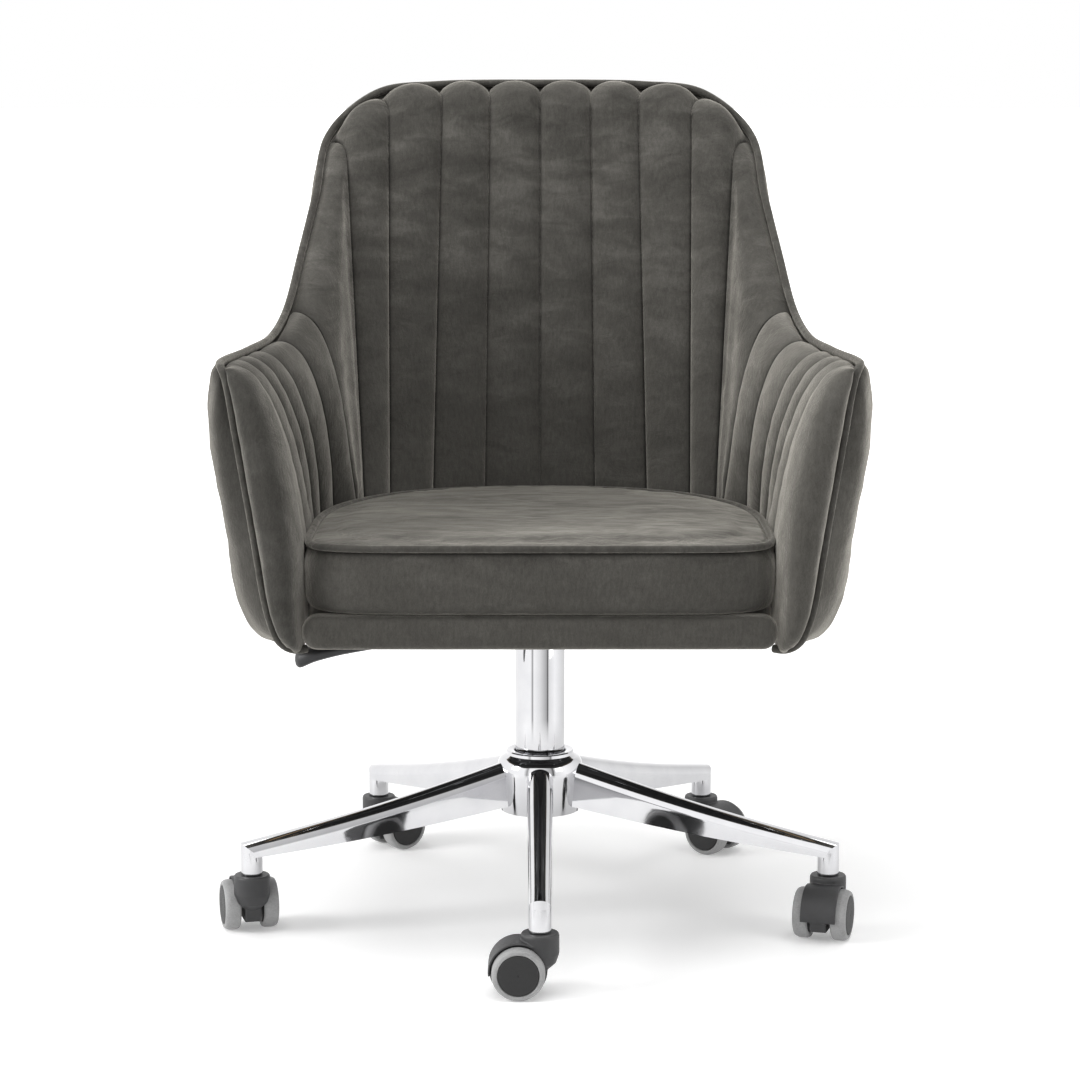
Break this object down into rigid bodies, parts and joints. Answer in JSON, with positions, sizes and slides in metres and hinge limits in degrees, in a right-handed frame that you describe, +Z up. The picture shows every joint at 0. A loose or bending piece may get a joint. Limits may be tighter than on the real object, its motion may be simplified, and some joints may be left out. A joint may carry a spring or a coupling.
{
  "type": "swivel office chair",
  "caption": "Tub-shaped swivel office chair with channelled upholstery, gas-lift column, five-leg chrome base and twin-wheel casters.",
  "frame": {"origin": "on the floor, on the axis of the gas-lift column", "axes": "+Z up; the sitter faces -Y; +X is the sitter's left"},
  "size_m": [0.6341, 0.6508, 0.8343],
  "materials": {
    "velvet": "matte",
    "chrome": "polished",
    "steel": "satin",
    "black_steel": "satin",
    "black_plastic": "satin",
    "caster_nylon": "satin",
    "caster_tyre": "matte",
    "acetal": "satin",
    "rubber": "matte",
    "plywood": "matte",
    "lining": "matte"
  },
  "bodies": {
    "base": {"base_hub": "chrome", "leg_1": "chrome", "leg_2": "chrome", "leg_3": "chrome", "leg_4": "chrome", "leg_5": "chrome", "column_tube": "chrome", "guide_bush": "acetal", "thrust_bearing": "steel", "caster_stem_1": "steel", "caster_stem_2": "steel", "caster_stem_3": "steel", "caster_stem_4": "steel", "caster_stem_5": "steel"},
    "rod": {"piston_rod": "chrome", "retaining_clip": "steel", "bump_stop": "rubber"},
    "seat": {"gas_cylinder": "black_steel", "mounting_plate": "black_steel", "plate_bolt_1": "steel", "plate_bolt_2": "steel", "plate_bolt_3": "steel", "plate_bolt_4": "steel", "seat_board": "plywood", "dust_cover": "lining", "seat_cushion": "velvet", "cushion_piping": "velvet", "seat_apron": "velvet", "back_pad": "velvet", "arm_pad_left": "velvet", "arm_pad_right": "velvet", "tub_frame": "plywood", "outer_back": "velvet", "outer_arm_left": "velvet", "outer_arm_right": "velvet", "rim_piping": "velvet", "lever_pivot_pin": "steel"},
    "lever": {"lever_rod": "steel", "lever_paddle": "black_plastic"},
    "valve_pin": {"release_pin": "acetal"},
    "caster_1": {"caster_hood_1": "caster_nylon", "caster_axle_1": "steel"},
    "wheel_1_a": {"wheel_1_a": "caster_tyre"},
    "wheel_1_b": {"wheel_1_b": "caster_tyre"},
    "caster_2": {"caster_hood_2": "caster_nylon", "caster_axle_2": "steel"},
    "wheel_2_a": {"wheel_2_a": "caster_tyre"},
    "wheel_2_b": {"wheel_2_b": "caster_tyre"},
    "caster_3": {"caster_hood_3": "caster_nylon", "caster_axle_3": "steel"},
    "wheel_3_a": {"wheel_3_a": "caster_tyre"},
    "wheel_3_b": {"wheel_3_b": "caster_tyre"},
    "caster_4": {"caster_hood_4": "caster_nylon", "caster_axle_4": "steel"},
    "wheel_4_a": {"wheel_4_a": "caster_tyre"},
    "wheel_4_b": {"wheel_4_b": "caster_tyre"},
    "caster_5": {"caster_hood_5": "caster_nylon", "caster_axle_5": "steel"},
    "wheel_5_a": {"wheel_5_a": "caster_tyre"},
    "wheel_5_b": {"wheel_5_b": "caster_tyre"}
  },
  "joints": [
    {"name": "seat_swivel", "type": "hinge", "parent": "base", "child": "rod", "pos_m": [0, 0, 0.11], "axis": [0, 0, 1], "continuous": true},
    {"name": "seat_height", "type": "slide", "parent": "rod", "child": "seat", "axis": [0, 0, 1], "range_m": [0, 0.085]},
    {"name": "lever_lift", "type": "hinge", "parent": "seat", "child": "lever", "pos_m": [-0.03, 0, 0.3053], "axis": [0, 1, 0], "range_deg": [0, 5], "stiffness_Nm_per_rad": 3, "springref_deg": -2.86},
    {"name": "valve_press", "type": "slide", "parent": "seat", "child": "valve_pin", "axis": [0, 0, -1], "range_m": [0, 0.0027]},
    {"name": "caster_swivel_1", "type": "hinge", "parent": "base", "child": "caster_1", "pos_m": [0, -0.3, 0.06], "axis": [0, 0, 1], "continuous": true},
    {"name": "wheel_spin_1_a", "type": "hinge", "parent": "caster_1", "child": "wheel_1_a", "pos_m": [-0.02, -0.3, 0.025], "axis": [0, -1, 0], "continuous": true},
    {"name": "wheel_spin_1_b", "type": "hinge", "parent": "caster_1", "child": "wheel_1_b", "pos_m": [-0.02, -0.3, 0.025], "axis": [0, -1, 0], "continuous": true},
    {"name": "caster_swivel_2", "type": "hinge", "parent": "base", "child": "caster_2", "pos_m": [0.28532, -0.09271, 0.06], "axis": [0, 0, 1], "continuous": true},
    {"name": "wheel_spin_2_a", "type": "hinge", "parent": "caster_2", "child": "wheel_2_a", "pos_m": [0.27937, -0.1118, 0.025], "axis": [0.9548, -0.2974, 0], "continuous": true},
    {"name": "wheel_spin_2_b", "type": "hinge", "parent": "caster_2", "child": "wheel_2_b", "pos_m": [0.27937, -0.1118, 0.025], "axis": [0.9548, -0.2974, 0], "continuous": true},
    {"name": "caster_swivel_3", "type": "hinge", "parent": "base", "child": "caster_3", "pos_m": [0.17634, 0.24271, 0.06], "axis": [0, 0, 1], "continuous": true},
    {"name": "wheel_spin_3_a", "type": "hinge", "parent": "caster_3", "child": "wheel_3_a", "pos_m": [0.19243, 0.23084, 0.025], "axis": [0.5934, 0.8049, 0], "continuous": true},
    {"name": "wheel_spin_3_b", "type": "hinge", "parent": "caster_3", "child": "wheel_3_b", "pos_m": [0.19243, 0.23084, 0.025], "axis": [0.5934, 0.8049, 0], "continuous": true},
    {"name": "caster_swivel_4", "type": "hinge", "parent": "base", "child": "caster_4", "pos_m": [-0.17634, 0.24271, 0.06], "axis": [0, 0, 1], "continuous": true},
    {"name": "wheel_spin_4_a", "type": "hinge", "parent": "caster_4", "child": "wheel_4_a", "pos_m": [-0.16036, 0.25474, 0.025], "axis": [-0.6018, 0.7986, 0], "continuous": true},
    {"name": "wheel_spin_4_b", "type": "hinge", "parent": "caster_4", "child": "wheel_4_b", "pos_m": [-0.16036, 0.25474, 0.025], "axis": [-0.6018, 0.7986, 0], "continuous": true},
    {"name": "caster_swivel_5", "type": "hinge", "parent": "base", "child": "caster_5", "pos_m": [-0.28532, -0.09271, 0.06], "axis": [0, 0, 1], "continuous": true},
    {"name": "wheel_spin_5_a", "type": "hinge", "parent": "caster_5", "child": "wheel_5_a", "pos_m": [-0.29032, -0.07334, 0.025], "axis": [-0.9681, -0.2504, 0], "continuous": true},
    {"name": "wheel_spin_5_b", "type": "hinge", "parent": "caster_5", "child": "wheel_5_b", "pos_m": [-0.29032, -0.07334, 0.025], "axis": [-0.9681, -0.2504, 0], "continuous": true}
  ],
  "couplings": [
    {"joint": "valve_press", "follows": "lever_lift", "m_per_rad": 0.0298}
  ]
}
